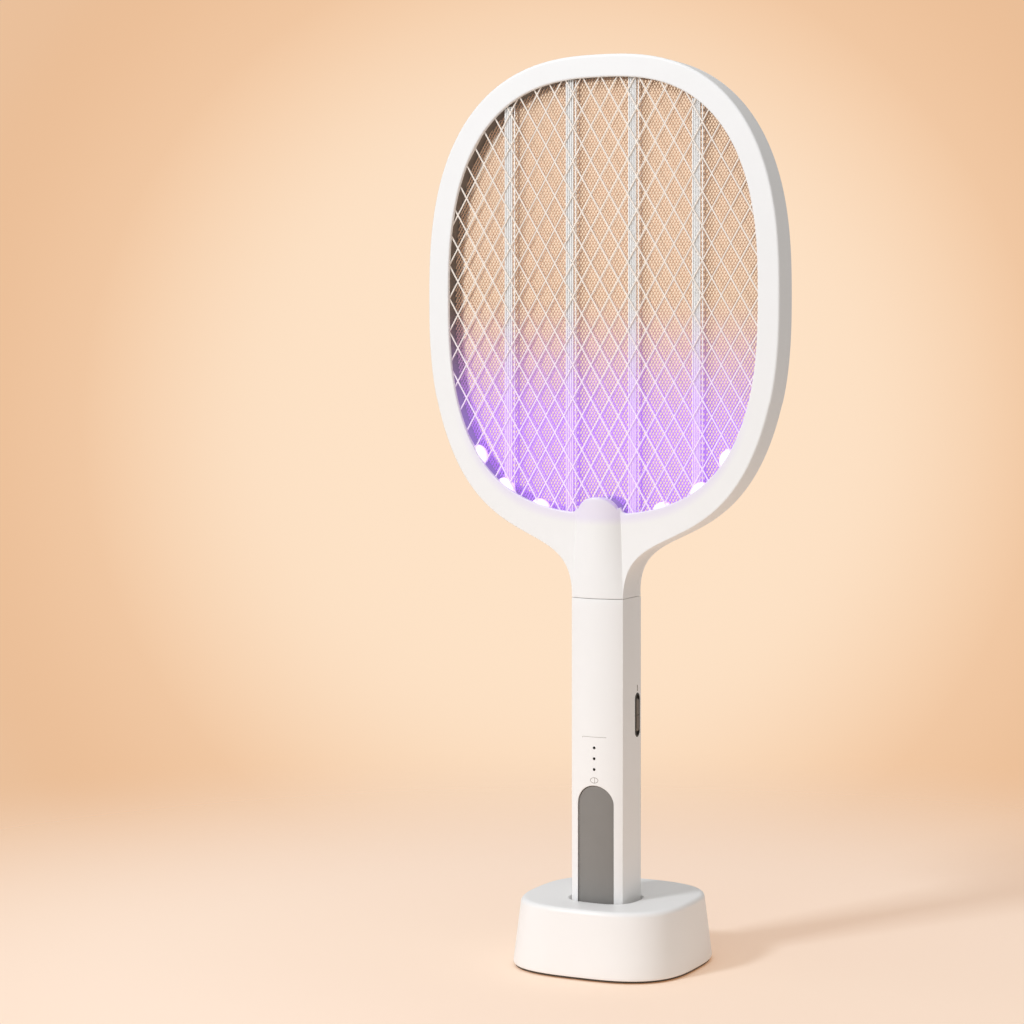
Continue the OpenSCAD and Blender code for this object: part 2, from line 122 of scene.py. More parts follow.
def makeWorld():
    # a warm backdrop with a soft pool of light in its middle, and plain soft light from all round
    look = dict(pool=(-0.4257, 0.9046, -0.0246), poolEdge=0.9, light="FCFAF8", strength=0.46,
                stops=((0.0, "F3D9BE"), (0.70, "E6B68C"), (0.832, "F2C9A4"), (0.877, "F7D3B1"), (0.934, "FEE3C7")))
    world = bpy.data.worlds.new("studio")
    bpy.context.scene.world = world
    world.use_nodes = True
    tree = world.node_tree
    tree.nodes.clear()
    coords = addNode(tree, "ShaderNodeTexCoord")
    aim = addNode(tree, "ShaderNodeVectorMath", {"operation": "DOT_PRODUCT"}, {
        0: coords.outputs["Generated"], 1: look["pool"]})
    spread = addNode(tree, "ShaderNodeMapRange", inputs={
        "Value": aim.outputs["Value"], "From Min": look["poolEdge"], "From Max": 1.0})
    ramp = addNode(tree, "ShaderNodeValToRGB", inputs={0: spread.outputs[0]})
    ramp.color_ramp.interpolation = "B_SPLINE"
    for i, (at, code) in enumerate(look["stops"]):
        stop = ramp.color_ramp.elements[i] if i < 2 else ramp.color_ramp.elements.new(at)
        stop.position = at
        stop.color = linear(code)
    seen = addNode(tree, "ShaderNodeBackground", inputs={"Color": ramp.outputs[0]})
    soft = addNode(tree, "ShaderNodeBackground", inputs={
        "Color": linear(look["light"]), "Strength": look["strength"]})
    path = addNode(tree, "ShaderNodeLightPath")
    mixed = addNode(tree, "ShaderNodeMixShader", inputs={
        0: path.outputs["Is Camera Ray"], 1: soft.outputs[0], 2: seen.outputs[0]})
    addNode(tree, "ShaderNodeOutputWorld", inputs={"Surface": mixed.outputs[0]})


def addAreaLight(name, place, target, size, watts, colour):
    data = bpy.data.lights.new(name, "AREA")
    data.shape = "SQUARE"
    data.size = size
    data.energy = watts
    data.color = linear(colour)[:3]
    lamp = bpy.data.objects.new(name, data)
    lamp.location = place
    lamp.rotation_euler = (Vector(target) - Vector(place)).to_track_quat("-Z", "Y").to_euler()
    lamp.visible_camera = False
    bpy.context.scene.collection.objects.link(lamp)


makeFloor()
makeWorld()
addAreaLight("key_softbox", place=(-0.90, -1.75, 1.45), target=(0, 0, 0.3), size=0.36, watts=27, colour="F5F9FF")
addAreaLight("front_panel", place=(0.4, -2.2, 0.9), target=(0, 0, 0.4), size=1.4, watts=5, colour="FFFFFF")
addAreaLight("top_panel", place=(-0.2, 0.1, 2.6), target=(0, 0, 0.1), size=1.8, watts=11, colour="FFFFFF")
print("camera, floor and lights made")

# Outlines of the head, in mm: x across and z up

head = dict(halfWidth=107.5, halfHeight=135.5, middle=375.5, power=2.56, band=12.8,
            front=-11.0, netPlane=-9.0, joint=6.9, back=9.0, seam=207.15,
            neckFront=-12.4, neckBack=12.4, neckRise=34.0, halfNeck=15.65,
            archWidth=13.6, archHeight=13.5, archMiddle=250.0, archPower=2.1, footHalf=13.25, footHeight=258.0,
            frontRadius=31.1, frontTop=-16.6, backRadius=53.6, backTop=14.6)
opening = dict(a=head["halfWidth"] - head["band"], b=head["halfHeight"] - head["band"], power=head["power"] + 0.05)


def squared(a, b, power, turn):
    c, s = math.cos(turn), math.sin(turn)
    reach = (abs(c / a) ** power + abs(s / b) ** power) ** (-1 / power)
    return reach * c, reach * s


def outerRing(turn):
    x, z = squared(head["halfWidth"], head["halfHeight"], head["power"], turn)
    return x, z + head["middle"]


def openingEdge(turn, grow=0.0):
    x, z = squared(opening["a"] + grow, opening["b"] + grow, opening["power"], turn)
    return x, z + head["middle"]


def fourPoint(p, t):
    k = [(1 - t) ** 3, 3 * (1 - t) ** 2 * t, 3 * (1 - t) * t * t, t ** 3]
    return sum(k[i] * p[i][0] for i in range(4)), sum(k[i] * p[i][1] for i in range(4))


def evenly(points, count):
    lengths = [0.0]
    for a, b in zip(points, points[1:]):
        lengths.append(lengths[-1] + math.dist(a, b))
    spaced, j = [], 0
    for i in range(count):
        wanted = lengths[-1] * i / (count - 1)
        while j < len(points) - 2 and lengths[j + 1] < wanted:
            j += 1
        part = (wanted - lengths[j]) / (lengths[j + 1] - lengths[j])
        a, b = points[j], points[j + 1]
        spaced.append((a[0] + (b[0] - a[0]) * part, a[1] + (b[1] - a[1]) * part))
    return spaced


def smooth(t):
    t = min(max(t, 0.0), 1.0)
    return t * t * (3 - 2 * t)


def frontArc(x, sunk=0.0):
    middle = head["frontTop"] + head["frontRadius"]
    return middle - math.sqrt((head["frontRadius"] - sunk) ** 2 - min(abs(x), 30) ** 2)


def backArc(x):
    return head["backTop"] - head["backRadius"] + math.sqrt(head["backRadius"] ** 2 - min(abs(x), 30) ** 2)


def neckLevel(z, near, far):
    # straight in the head, then a steady lean to the handle's depth, with a soft bend between
    rise = head["neckRise"]
    part = (head["seam"] + rise - z) / rise
    return far + (near - far) * max(0.0, (part + math.sqrt(part * part + 0.004)) / 2)


def headColumns():
    # a column runs from the opening's edge to the outline: round the ring, down the flare, over the hub and up again
    look = dict(ring=180, side=80, arch=56, flareStart=(102.2, 316.9), flarePulls=[(79.2, 221.5), (15.65, 256.5)],
                lowerEnd=(18.5, -122.55), lift=1.5, liftFrom=82, liftOver=45,
                footPulls=[(15.2, 254.4), (13.8, 255.2)])
    startTurn = math.atan2(look["flareStart"][1] - head["middle"], look["flareStart"][0])
    endTurn = math.atan2(look["lowerEnd"][1], look["lowerEnd"][0])
    columns = []
    for i in range(look["ring"]):
        turn = startTurn + (math.pi - 2 * startTurn) * i / look["ring"]
        columns.append((openingEdge(turn), outerRing(turn), None))
    flarePoints = [look["flareStart"], *look["flarePulls"], (head["halfNeck"], head["seam"])]
    flare = [fourPoint(flarePoints, i / 200) for i in range(201)]
    lower = [openingEdge(startTurn + (endTurn - startTurn) * i / 200) for i in range(201)]
    lower = [(x, z + look["lift"] * smooth((look["liftFrom"] - x) / look["liftOver"])) for x, z in lower]
    footPoints = [lower[-1], *look["footPulls"], (head["footHalf"], head["footHeight"])]
    lower += [fourPoint(footPoints, i / 24) for i in range(1, 25)]
    side, arch = look["side"], look["arch"]
    outerSide, innerSide = evenly(flare, side + 1), evenly(lower, side + 1)
    for i in range(side):
        columns.append(((-innerSide[i][0], innerSide[i][1]), (-outerSide[i][0], outerSide[i][1]), None))
    footTurn = math.atan2(head["footHeight"] - head["archMiddle"], head["footHalf"])
    for i in range(arch):
        part = 0.5 - 0.5 * math.cos(math.pi * i / arch)
        turn = math.pi - footTurn - (math.pi - 2 * footTurn) * part
        x, z = squared(head["archWidth"], head["archHeight"], head["archPower"], turn)
        columns.append(((x, z + head["archMiddle"]), (head["halfNeck"] * (2 * part - 1), head["seam"]), part))
    for i in range(side, 0, -1):
        columns.append((innerSide[i], outerSide[i], 1.0 if i == side else None))
    return columns


def skin(count, rows, place):
    # a ring of edges is extruded row by row, and each point goes where place(column, row) puts it
    bm = bmesh.new()
    column = bm.verts.layers.int.new("column")
    bmesh.ops.create_circle(bm, segments=count, radius=1)
    for i, vert in enumerate(bm.verts):
        vert[column] = i
    ring, edges = list(bm.verts), list(bm.edges)
    for row in range(rows):
        if row:
            made = bmesh.ops.extrude_edge_only(bm, edges=edges)["geom"]
            ring = [g for g in made if isinstance(g, bmesh.types.BMVert)]
            fresh = set(ring)
            edges = list({e for v in ring for e in v.link_edges if e.other_vert(v) in fresh})
        for vert in ring:
            x, y, z = place(vert[column], row)
            vert.co = (x * mm, y * mm, z * mm)
    bmesh.ops.remove_doubles(bm, verts=bm.verts, dist=2e-6)
    bmesh.ops.dissolve_degenerate(bm, dist=1e-6, edges=bm.edges)
    bmesh.ops.recalc_face_normals(bm, faces=bm.faces)
    return bm


def finishPiece(name, bm, material, body, replaces=(), sharp=35, shift=-racketSet):
    bmesh.ops.translate(bm, vec=(0, shift * mm, 0), verts=bm.verts)
    for face in bm.faces:
        face.smooth = True
    mesh = bpy.data.meshes.new(name)
    bm.to_mesh(mesh)
    bm.free()
    mesh.set_sharp_from_angle(angle=math.radians(sharp))
    mesh.materials.append(material)
    piece = bpy.data.objects.new(name, mesh)
    bpy.context.scene.collection.objects.link(piece)
    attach(piece, body)
    if replaces:
        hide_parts(*replaces)
    return piece


def cutAway(piece, cutters, sharp=35):
    # exact cuts, made part of the mesh at once
    mesh = bpy.data.meshes.new("cutter")
    cutters.to_mesh(mesh)
    cutters.free()
    tool = bpy.data.objects.new("cutter", mesh)
    bpy.context.scene.collection.objects.link(tool)
    modifier = piece.modifiers.new("cut", "BOOLEAN")
    modifier.operation = "DIFFERENCE"
    modifier.solver = "EXACT"
    modifier.object = tool
    graph = bpy.context.evaluated_depsgraph_get()
    result = bpy.data.meshes.new_from_object(piece.evaluated_get(graph), depsgraph=graph)
    piece.modifiers.clear()
    piece.data = result
    result.set_sharp_from_angle(angle=math.radians(sharp))
    bpy.data.objects.remove(tool)


# Materials

def gradedGlow(tree):
    # how much painted violet lamp light a height gets: none at the middle of the head, all near its foot
    look = dict(noneAt=377, allAt=296)
    height = addNode(tree, "ShaderNodeSeparateXYZ", inputs={0: objectPoint(tree)}).outputs["Z"]
    return addNode(tree, "ShaderNodeMapRange", {"interpolation_type": "SMOOTHSTEP"}, {
        "Value": height, "From Min": look["noneAt"] * mm, "From Max": look["allAt"] * mm}).outputs[0]


def grain(tree, size, depth, detail=2.0):
    # mould texture as a bump, size in mm: drawn coarser than the real grain, which is too fine to show
    noise = addNode(tree, "ShaderNodeTexNoise", inputs={
        "Vector": objectPoint(tree), "Scale": 1 / (size * mm), "Detail": detail})
    return addNode(tree, "ShaderNodeBump", inputs={
        "Strength": depth, "Distance": 0.05 * mm, "Height": noise.outputs["Fac"]}).outputs[0]


def makeShellAbs():
    # white ABS, moulded satin: a soft broad highlight, faintly uneven; violet lamp light is painted into its colour
    # round the opening's edge and low on the head
    look = dict(colours=("F3F2F0", "F6F5F4"), paintedLampTint="DCC8F6", rough=(0.34, 0.44), patch=22,
                rimReach=1.13, paintedTintFrom=325, paintedTintAll=275, paintedTintMost=0.32)
    material, tree = newMaterial("abs_white_moulded_satin")
    patches = addNode(tree, "ShaderNodeTexNoise", inputs={
        "Vector": objectPoint(tree), "Scale": 1 / (look["patch"] * mm), "Detail": 3})
    white = addNode(tree, "ShaderNodeMix", {"data_type": "RGBA"}, {
        0: patches.outputs["Fac"], 6: linear(look["colours"][0]), 7: linear(look["colours"][1])})
    rough = addNode(tree, "ShaderNodeMapRange", inputs={
        "Value": patches.outputs["Fac"], "To Min": look["rough"][0], "To Max": look["rough"][1]})
    # painted violet lamp light: strongest at the opening's edge and low on the head
    centred = objectPoint(tree, scale=(1 / (opening["a"] * mm), 1, 1 / (opening["b"] * mm)),
                          place=(0, 0, -head["middle"] / opening["b"]))
    plain = addNode(tree, "ShaderNodeVectorMath", {"operation": "ABSOLUTE"}, {0: centred})
    parts = addNode(tree, "ShaderNodeSeparateXYZ", inputs={0: plain.outputs[0]})
    across = addNode(tree, "ShaderNodeMath", {"operation": "POWER"}, {0: parts.outputs["X"], 1: opening["power"]})
    up = addNode(tree, "ShaderNodeMath", {"operation": "POWER"}, {0: parts.outputs["Z"], 1: opening["power"]})
    rim = addNode(tree, "ShaderNodeMath", {"operation": "ADD"}, {0: across.outputs[0], 1: up.outputs[0]})
    near = addNode(tree, "ShaderNodeMapRange", {"interpolation_type": "SMOOTHSTEP"}, {
        "Value": rim.outputs[0], "From Min": look["rimReach"], "From Max": 1.0})
    height = addNode(tree, "ShaderNodeSeparateXYZ", inputs={0: objectPoint(tree)})
    low = addNode(tree, "ShaderNodeMapRange", {"interpolation_type": "SMOOTHSTEP"}, {
        "Value": height.outputs["Z"], "From Min": look["paintedTintFrom"] * mm, "From Max": look["paintedTintAll"] * mm,
        "To Max": look["paintedTintMost"]})
    paintedTintAmount = addNode(tree, "ShaderNodeMath", {"operation": "MULTIPLY"}, {0: near.outputs[0], 1: low.outputs[0]})
    colour = addNode(tree, "ShaderNodeMix", {"data_type": "RGBA"}, {
        0: paintedTintAmount.outputs[0], 6: white.outputs[2], 7: linear(look["paintedLampTint"])})
    finishMaterial(tree, addNode(tree, "ShaderNodeBsdfPrincipled", inputs={
        "Base Color": colour.outputs[2], "Roughness": rough.outputs[0], "IOR": 1.5, "Normal": grain(tree, 0.5, 0.1)}))
    return material


def makePlain(name, colours, roughness, metallic=0.0, grainSize=0.6, depth=0.15, patch=12):
    # one material in two close shades that drift over a few mm, with a fine grain
    material, tree = newMaterial(name)
    patches = addNode(tree, "ShaderNodeTexNoise", inputs={
        "Vector": objectPoint(tree), "Scale": 1 / (patch * mm), "Detail": 3})
    shade = addNode(tree, "ShaderNodeMix", {"data_type": "RGBA"}, {
        0: patches.outputs["Fac"], 6: linear(colours[0]), 7: linear(colours[1])})
    rough = addNode(tree, "ShaderNodeMapRange", inputs={
        "Value": patches.outputs["Fac"], "To Min": roughness - 0.05, "To Max": roughness + 0.05})
    finishMaterial(tree, addNode(tree, "ShaderNodeBsdfPrincipled", inputs={
        "Base Color": shade.outputs[2], "Roughness": rough.outputs[0], "Metallic": metallic,
        "Normal": grain(tree, grainSize, depth)}))
    return material


def makeLitCoating(name, plain, lit, glow, strength, roughness, metallic=0.0):
    # a coat with the lamps' violet light painted in lower down: a lit copy of its colour and a glow
    material, tree = newMaterial(name)
    amount = gradedGlow(tree)
    colour = addNode(tree, "ShaderNodeMix", {"data_type": "RGBA"}, {0: amount, 6: linear(plain), 7: linear(lit)})
    power = addNode(tree, "ShaderNodeMath", {"operation": "MULTIPLY"}, {0: amount, 1: strength})
    finishMaterial(tree, addNode(tree, "ShaderNodeBsdfPrincipled", inputs={
        "Base Color": colour.outputs[2], "Roughness": roughness, "Metallic": metallic,
        "Emission Color": linear(glow), "Emission Strength": power.outputs[0], "Normal": grain(tree, 0.4, 0.2)}))
    return material


def makeLamp():
    # frosted acrylic over a violet-white lamp: white at the dome's front, fading to violet round its foot
    look = dict(foot=-16.6, front=-18.7, rim="C49AF8", middle="FFFFFF", glow=0.72)
    material, tree = newMaterial("acrylic_frosted_lit")
    depth = addNode(tree, "ShaderNodeSeparateXYZ", inputs={0: objectPoint(tree)}).outputs["Y"]
    amount = addNode(tree, "ShaderNodeMapRange", {"interpolation_type": "SMOOTHSTEP"}, {
        "Value": depth, "From Min": look["foot"] * mm, "From Max": look["front"] * mm})
    colour = addNode(tree, "ShaderNodeMix", {"data_type": "RGBA"}, {
        0: amount.outputs[0], 6: linear(look["rim"]), 7: linear(look["middle"])}).outputs[2]
    finishMaterial(tree, addNode(tree, "ShaderNodeBsdfPrincipled", inputs={
        "Base Color": linear("E6D2FC"), "Roughness": 0.5, "Normal": grain(tree, 0.8, 0.1),
        "Emission Color": colour, "Emission Strength": look["glow"]}))
    return material


# what a material gives the eye is said beside it, or in its own function
shellAbs = makeShellAbs()
# the next four coats carry painted violet lamp light low down: a lit copy of their colour and a glow
carrierAbs = makeLitCoating("abs_grey_matt_lit", "7C746C", "A396BC", "A48CCC", 0.20, 0.6)  # dull, violet low down
netPaint = makeLitCoating("steel_cream_powder_coat", "FBF1E6", "F0E2FA", "E0B4FA", 0.18, 0.45)  # pale, soft sheen
gridWire = makeLitCoating("steel_wire_drawn", "F3D0B2", "BE98E6", "C080F0", 0.40, 0.5, 0.05)  # thin warm glints
ribAbs = makeLitCoating("abs_pale_grey_moulded", "FAF9F7", "ECDAFA", "D8A8FF", 0.16, 0.5)  # pale, even, satin
lampAcrylic = makeLamp()
panelSoft = makePlain("softtouch_grey_moulded", ("827F7B", "888581"), 0.62, grainSize=0.35, depth=0.35)  # velvety
gloss = makePlain("abs_black_polished", ("17130F", "1C1814"), 0.18, patch=3)  # black with small sharp highlights
bezelAbs = makePlain("abs_dark_brown_matt", ("3A342E", "403A33"), 0.5, patch=4)  # dark, no highlight
knobAbs = makePlain("abs_brown_grey_matt", ("776D63", "7D7369"), 0.5, patch=4)  # lighter than its bezel, dull
# charcoal plastic; where its edge shows under the dock, its dark line also stands in for the shade in the gap under
# the shell
charcoalAndGapShade = makePlain("abs_charcoal_matt_and_gap_shade", ("38322D", "3E3833"), 0.6)  # a dark line under the dock
footRubber = makePlain("silicone_black_moulded", ("201E1C", "262422"), 0.8, grainSize=0.8, depth=0.3)  # dead matt
boardFibre = makePlain("fibreglass_green_masked", ("1E5B33", "1A5230"), 0.35, grainSize=1.2)  # green, half gloss
steelZinc = makePlain("steel_zinc_plated", ("B9B7B2", "AEACA8"), 0.3, metallic=1.0, patch=5)  # grey, clear glints
nickelStrip = makePlain("nickel_plated_strip", ("B3AA98", "A9A18F"), 0.32, metallic=1.0, patch=5)  # warmer grey
goldPin = makePlain("brass_gold_plated", ("D9B25A", "D1A850"), 0.25, metallic=1.0, patch=4)  # bright yellow glints
leadRed = makePlain("silicone_red_sleeve", ("A22A1E", "96261B"), 0.55)  # red, dull
tapeYellow = makePlain("polyester_tape_yellow", ("D8A93C", "D0A036"), 0.4)  # yellow, slight shine
capRed = makePlain("epoxy_dip_red", ("9A2B1E", "8E2619"), 0.3)  # deep red, shiny
cellBlue = makePlain("pvc_blue_shrink", ("2F6398", "2A5A8C"), 0.35)  # blue, half gloss
# ink grey for the front mark; on the front line the same grey is painted shade standing in for a shallow groove
inkAndGrooveShadeGrey = makePlain("ink_grey_and_groove_shade", ("A39C95", "AAA39C"), 0.7, patch=3)  # flat grey, faint on white
printDark = makePlain("ink_dark_printed", ("6B6259", "726960"), 0.7, patch=3)  # flat, dark enough to read
print("materials made")

# Head: front shell

headCols = headColumns()


def along(start, end, distance):
    length = math.dist(start, end)
    part = distance / length
    return start[0] + (end[0] - start[0]) * part, start[1] + (end[1] - start[1]) * part


def headFrontY(x, z, ridge):
    # the ridge is a half-round that meets the plate at both sides and fills the handle's front at the seam
    plate = neckLevel(z, head["neckFront"], head["front"])
    if ridge is None:
        return plate
    down = min(max((head["footHeight"] - z) / (head["footHeight"] - head["seam"]), 0.0), 1.0)
    half = head["footHalf"] + (head["halfNeck"] - head["footHalf"]) * down
    deep = plate - head["frontTop"]
    radius = (half * half + deep * deep) / (2 * deep)
    return min(plate, head["frontTop"] + radius - math.sqrt(radius * radius - x * x))


def faceRowCount(look):
    return 1 + look["faceRows"] + 2 * look["arcRows"]


def facePoint(row, look, inner, outer, roundIn, roundOut):
    # rows from 1 run from inner to outer with a rounded edge at each end: x, z and how far the surface drops there
    arcs, length = look["arcRows"], math.dist(inner, outer)
    if row <= arcs + 1:
        turn = math.pi / 2 * (row - 1) / arcs
        return *along(inner, outer, roundIn * (1 - math.cos(turn))), roundIn * (1 - math.sin(turn))
    row -= arcs + 1
    if row <= look["faceRows"]:
        return *along(inner, outer, roundIn + (length - roundIn - roundOut) * row / look["faceRows"]), 0.0
    turn = math.pi / 2 * (row - look["faceRows"]) / arcs
    return *along(inner, outer, length - roundOut * (1 - math.sin(turn))), roundOut * (1 - math.cos(turn))


def makeHeadFront():
    look = dict(innerRound=0.8, hubRound=1.1, outerRound=1.3, neckRound=0.7, seamRound=0.18, seamGap=0.15,
                neckFrom=300, neckOver=60, wall=2.0, faceRows=26, arcRows=5)
    faceEnd = faceRowCount(look)
    last = faceEnd + 5

    def place(i, row):
        inner, outer, ridge = headCols[i]
        if row == 0 or row == last:
            return inner[0], head["netPlane"], inner[1]
        if row <= faceEnd:
            neck = smooth((look["neckFrom"] - outer[1]) / look["neckOver"])
            roundOut = look["outerRound"] + (look["neckRound"] - look["outerRound"]) * neck
            if outer[1] < head["seam"] + 0.01:
                roundOut = look["seamRound"]
            onHub = ridge is not None and inner[1] > head["footHeight"] + 1
            roundIn = look["hubRound" if onHub else "innerRound"]
            x, z, drop = facePoint(row, look, inner, outer, roundIn, roundOut)
            return x, headFrontY(x, z, ridge) + drop, z
        row -= faceEnd
        if row == 1:
            return outer[0], head["joint"] - look["seamGap"], outer[1]
        inset = look["seamGap"] if row == 2 else look["wall"]
        x, z = along(inner, outer, math.dist(inner, outer) - inset)
        return x, head["joint"] if row <= 3 else head["netPlane"], z

    bm = skin(len(headCols), last + 1, place)
    finishPiece("head_front", bm, shellAbs, "racket", ["head_shell"])


screwWell = dict(radius=2.15, length=4.0)


def addWell(bm, x, floor, z):
    # a round cutter that leaves a well's floor at the given depth
    turned = Matrix.Translation((x * mm, (floor + screwWell["length"] / 2 - racketSet) * mm, z * mm))
    bmesh.ops.create_cone(bm, cap_ends=True, segments=28, radius1=screwWell["radius"] * mm,
                          radius2=screwWell["radius"] * mm, depth=screwWell["length"] * mm,
                          matrix=turned @ Matrix.Rotation(math.pi / 2, 4, "X"))


def makeHeadBack():
    look = dict(innerRound=0.8, outerRound=1.2, seamRound=0.18, seamGap=0.15, lift=0.12, crownFrom=40, crownOver=44,
                faceRows=24, arcRows=4, wellTurns=(20, 62, 98, 132), wellOut=6.4, wellDepth=1.05)
    faceEnd = faceRowCount(look)
    last = faceEnd + 3
    level = head["joint"] + look["lift"]

    def backY(x, z):
        crown = smooth((head["seam"] + look["crownFrom"] - z) / look["crownOver"])
        return neckLevel(z, head["neckBack"], head["back"]) + max(0.0, backArc(x) - head["neckBack"]) * crown

    def place(i, row):
        inner, outer = headCols[i][:2]
        if row == 0 or row == last:
            return inner[0], level, inner[1]
        if row <= faceEnd:
            roundOut = look["seamRound"] if outer[1] < head["seam"] + 0.01 else look["outerRound"]
            x, z, drop = facePoint(row, look, inner, outer, look["innerRound"], roundOut)
            return x, backY(x, z) - drop, z
        if row == faceEnd + 1:
            return outer[0], level + look["seamGap"], outer[1]
        x, z = along(inner, outer, math.dist(inner, outer) - look["seamGap"])
        return x, level, z

    bm = skin(len(headCols), last + 1, place)
    piece = finishPiece("head_back", bm, shellAbs, "racket", ["head_cover"])
    wells = bmesh.new()
    for turn in look["wellTurns"]:
        x, z = openingEdge(math.radians(90 - turn), look["wellOut"])
        for side in (-1, 1):
            addWell(wells, side * x, head["back"] - look["wellDepth"], z)
    cutAway(piece, wells)


makeHeadFront()
makeHeadBack()
print("head shells made")

# Dark carrier between the nets

def makeCarrier():
    look = dict(inner=0.6, outer=2.8, front=-8.2, back=6.2, segments=200)
    hub = dict(a=13.3, b=13.2, round=0.5, flat=0.45, shoulder=1 - 0.5 / 13, segments=96)
    corners = [(look["inner"], look["front"]), (look["inner"], look["back"]), (look["outer"], look["back"]),
               (look["outer"], look["front"]), (look["inner"], look["front"])]
    levels = [(0.0, look["front"]), (hub["flat"], look["front"]), (hub["shoulder"], look["front"]),
              (1, look["front"] + hub["round"]), (1, -4.0), (1, 2.0), (1, look["back"] - hub["round"]),
              (hub["shoulder"], look["back"]), (hub["flat"], look["back"]), (0.0, look["back"])]

    def place(i, row):
        grow, y = corners[row]
        x, z = openingEdge(2 * math.pi * i / look["segments"], grow)
        return x, y, z

    def placeHub(i, row):
        part, y = levels[row]
        x, z = squared(hub["a"], hub["b"], head["archPower"], 2 * math.pi * i / hub["segments"])
        return x * part, y, z * part + head["archMiddle"]

    bm = skin(look["segments"], len(corners), place)
    dome = skin(hub["segments"], len(levels), placeHub)
    mesh = bpy.data.meshes.new("dome")
    dome.to_mesh(mesh)
    dome.free()
    bm.from_mesh(mesh)
    bpy.data.meshes.remove(mesh)
    finishPiece("net_carrier", bm, carrierAbs, "racket", ["net_frame"])


makeCarrier()

# Nets

def lastGood(good, bad, isGood):
    # halves the way between a value that passes and one that doesn't
    for _ in range(24):
        middle = (good + bad) / 2
        if isGood(middle):
            good = middle
        else:
            bad = middle
    return good


def spanAcross(grow, direction, offset):
    # where a straight wire meets the opening's edge: the chord's middle isn't at 0, so it is looked for first
    reach, step = 150, 4
    dx, dz = direction
    nx, nz = -dz, dx

    def inside(t):
        x, z = nx * offset + dx * t, nz * offset + dz * t
        across, up = abs(x) / (opening["a"] + grow), abs(z) / (opening["b"] + grow)
        return across ** opening["power"] + up ** opening["power"] < 1

    seeds = [t for t in range(-reach, reach + 1, step) if inside(t)]
    if not seeds:
        return None
    ends = [lastGood(min(seeds), min(seeds) - step, inside), lastGood(max(seeds), max(seeds) + step, inside)]
    return [(nx * offset + dx * t, nz * offset + dz * t + head["middle"]) for t in ends]


def overHub(a, b):
    # a wire stops at the hub block: keeps the part outside it
    hub = dict(a=13.2, b=13.1)

    def inHub(p):
        under = abs(p[0]) < hub["a"] and p[1] < head["archMiddle"]
        return under or (p[0] / hub["a"]) ** 2 + ((p[1] - head["archMiddle"]) / hub["b"]) ** 2 < 1

    def between(part):
        return a[0] + (b[0] - a[0]) * part, a[1] + (b[1] - a[1]) * part

    if inHub(a) and inHub(b):
        return None
    if inHub(a):
        return between(lastGood(1.0, 0.0, lambda part: not inHub(between(part)))), b
    if inHub(b):
        return a, between(lastGood(0.0, 1.0, lambda part: not inHub(between(part))))
    return a, b


def wireEnds(rim, direction, offset):
    # both ends of a wire that starts and ends past the opening's edge, or none for a stub
    shortest = 1.5
    ends = spanAcross(rim, direction, offset)
    kept = overHub(*ends) if ends else None
    return kept if kept and math.dist(*kept) > shortest else None


def addRod(bm, start, end, radius, sides, stretch=1.0):
    run = end - start
    turned = Matrix.Translation((start + end) / 2) @ run.to_track_quat("Z", "Y").to_matrix().to_4x4()
    return bmesh.ops.create_cone(bm, cap_ends=True, segments=sides, radius1=radius * mm, radius2=radius * mm,
                                 depth=run.length * stretch, matrix=turned)["verts"]


def addWire(bm, ends, y, radius, sides, flat=1.0):
    start, end = (Vector((x, y, z)) * mm for x, z in ends)
    for vert in addRod(bm, start, end, radius, sides):
        vert.co.y = y * mm + (vert.co.y - y * mm) * flat


def makeNet(name, y, shift, replaced):
    look = dict(width=11.2, height=19.1, radius=0.45, sides=8, flat=0.85, rim=1.2, apart=0.06, reach=16)
    bm = bmesh.new()
    size = math.hypot(look["width"], look["height"])
    gap = look["width"] * look["height"] / size
    for side in (-1, 1):
        direction = (side * look["width"] / size, look["height"] / size)
        # wires pass through the lattice's corners, which are shifted on the rear net
        start = -direction[1] * (shift + 0.5) * look["width"] % gap
        for i in range(-look["reach"], look["reach"] + 1):
            ends = wireEnds(look["rim"], direction, start + i * gap)
            if ends:
                addWire(bm, ends, y + side * look["apart"], look["radius"], look["sides"], look["flat"])
    finishPiece(name, bm, netPaint, "racket", [replaced], sharp=50)


def makeGrid():
    look = dict(pitch=1.6, radius={-1: 0.37, 1: 0.22}, sides=6, lean=60, rim=1.6, apart=0.3, reach=84)
    bm = bmesh.new()
    for side in (-1, 1):
        turn = math.radians(90 + side * (90 - look["lean"]))
        direction = (math.cos(turn), math.sin(turn))
        for i in range(-look["reach"], look["reach"] + 1):
            ends = wireEnds(look["rim"], direction, i * look["pitch"])
            if ends:
                addWire(bm, ends, side * look["apart"], look["radius"][side], look["sides"])
    finishPiece("shock_mesh", bm, gridWire, "racket", ["shock_grid"], sharp=60)


makeNet("net_front", -8.6, 0.0, "front_net")
makeNet("net_rear", 6.6, 0.5, "rear_net")
makeGrid()
print("nets made")


def addBar(bm, low, high, bevel, segments=2):
    made = bmesh.ops.create_cube(bm, size=1)
    centre = [(a + b) / 2 * mm for a, b in zip(low, high)]
    size = [(b - a) * mm for a, b in zip(low, high)]
    bmesh.ops.scale(bm, vec=size, verts=made["verts"])
    bmesh.ops.translate(bm, vec=centre, verts=made["verts"])
    edges = list({e for v in made["verts"] for e in v.link_edges})
    bmesh.ops.bevel(bm, geom=edges, offset=bevel * mm, affect="EDGES", segments=segments, profile=0.5, material=-1)


